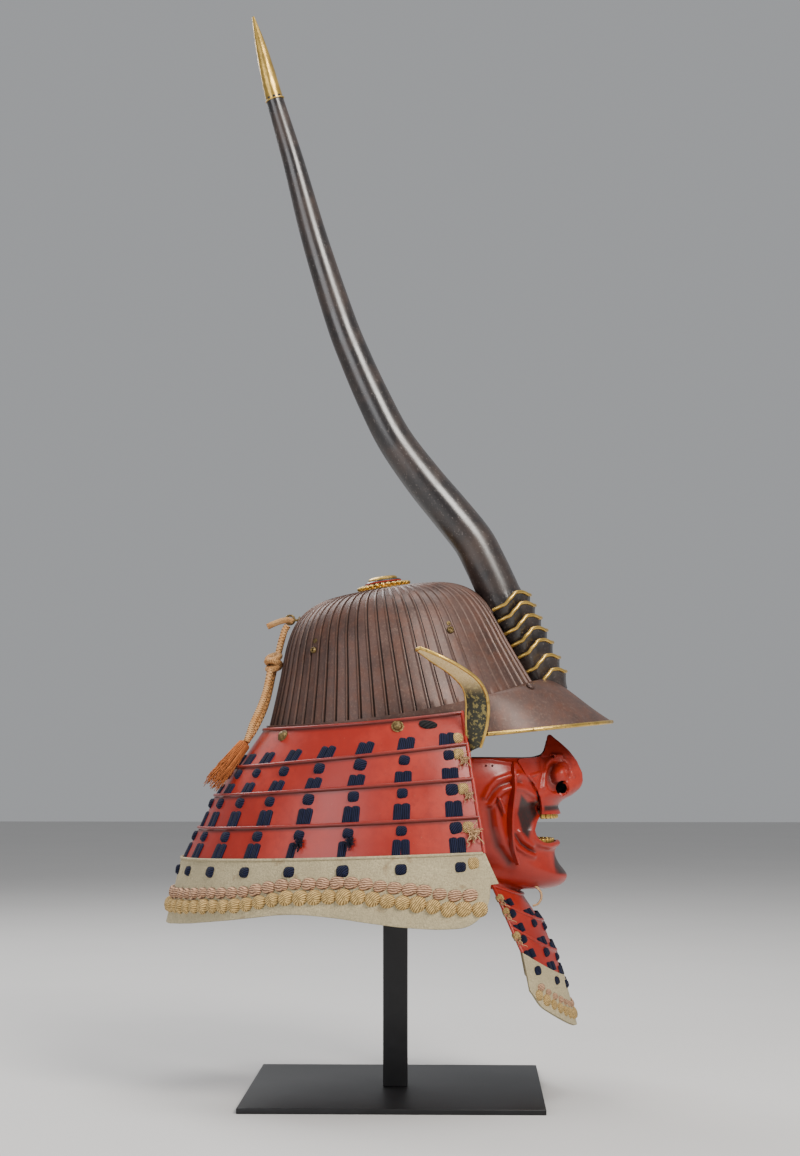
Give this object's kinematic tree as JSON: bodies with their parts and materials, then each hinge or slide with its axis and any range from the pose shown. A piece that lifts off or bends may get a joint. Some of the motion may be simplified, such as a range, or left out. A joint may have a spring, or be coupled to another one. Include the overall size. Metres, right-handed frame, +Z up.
{
  "type": "kabuto samurai helmet with face mask on a stand",
  "caption": "Ribbed samurai helmet with laced neck guard, tall horn crest, visor, grotesque half mask and throat guard, held on a plain post stand.",
  "frame": {"origin": "middle of the underside of the stand plate, on the surface that it stands on", "axes": "+Z up, -Y the way the mask faces, +X towards the helmet's left side as worn"},
  "size_m": [0.354, 0.4286, 1.0416],
  "materials": {
    "russet_iron": "dark russet-brown iron, satin, with worn brighter rib edges",
    "gilt": "worn gilding over copper",
    "red_lacquer": "glossy red lacquer over iron, rubbed at the edges",
    "black_lacquer": "glossy black lacquer over wood",
    "leather": "pale undyed leather, matt",
    "stand_black": "satin black paint",
    "cord_silk": "faded orange braided silk",
    "navy_silk": "dark blue braided silk lacing",
    "cream_silk": "cream and gold braided silk lacing"
  },
  "bodies": {
    "root": {"bowl": "russet_iron", "bowl_band": "russet_iron", "visor": "russet_iron", "visor_rivet_left": "russet_iron", "visor_rivet_right": "russet_iron", "ear_left": "russet_iron", "ear_right": "russet_iron", "visor_rim": "gilt", "finial_base": "gilt", "finial_top": "gilt", "rim_rivet_1": "gilt", "rim_rivet_2": "gilt", "rim_rivet_3": "gilt", "rim_rivet_4": "gilt", "ear_rim_left": "gilt", "ear_rim_right": "gilt", "horn_tip": "gilt", "teeth_upper": "gilt", "teeth_lower": "gilt", "back_ring": "gilt", "neck_lame_1": "red_lacquer", "neck_lame_2": "red_lacquer", "neck_lame_3": "red_lacquer", "neck_lame_4": "red_lacquer", "mask": "red_lacquer", "nose_piece": "red_lacquer", "cheek_flange_left": "red_lacquer", "cheek_flange_right": "red_lacquer", "throat_lame_1": "red_lacquer", "throat_lame_2": "red_lacquer", "throat_lame_3": "red_lacquer", "neck_lame_5": "leather", "throat_lame_4": "leather", "finial_ring": "black_lacquer", "horn": "black_lacquer", "horn_foot": "black_lacquer", "horn_collar_1": "black_lacquer", "horn_collar_2": "black_lacquer", "horn_collar_3": "black_lacquer", "horn_collar_4": "black_lacquer", "horn_collar_5": "black_lacquer", "horn_collar_6": "black_lacquer", "horn_collar_7": "black_lacquer", "stand_plate": "stand_black", "stand_post": "stand_black", "stand_cap": "stand_black", "mask_arm": "stand_black", "back_cord": "cord_silk", "back_cord_loop": "cord_silk", "cord_knot": "cord_silk", "cord_tassel": "cord_silk"}
  },
  "joints": []
}
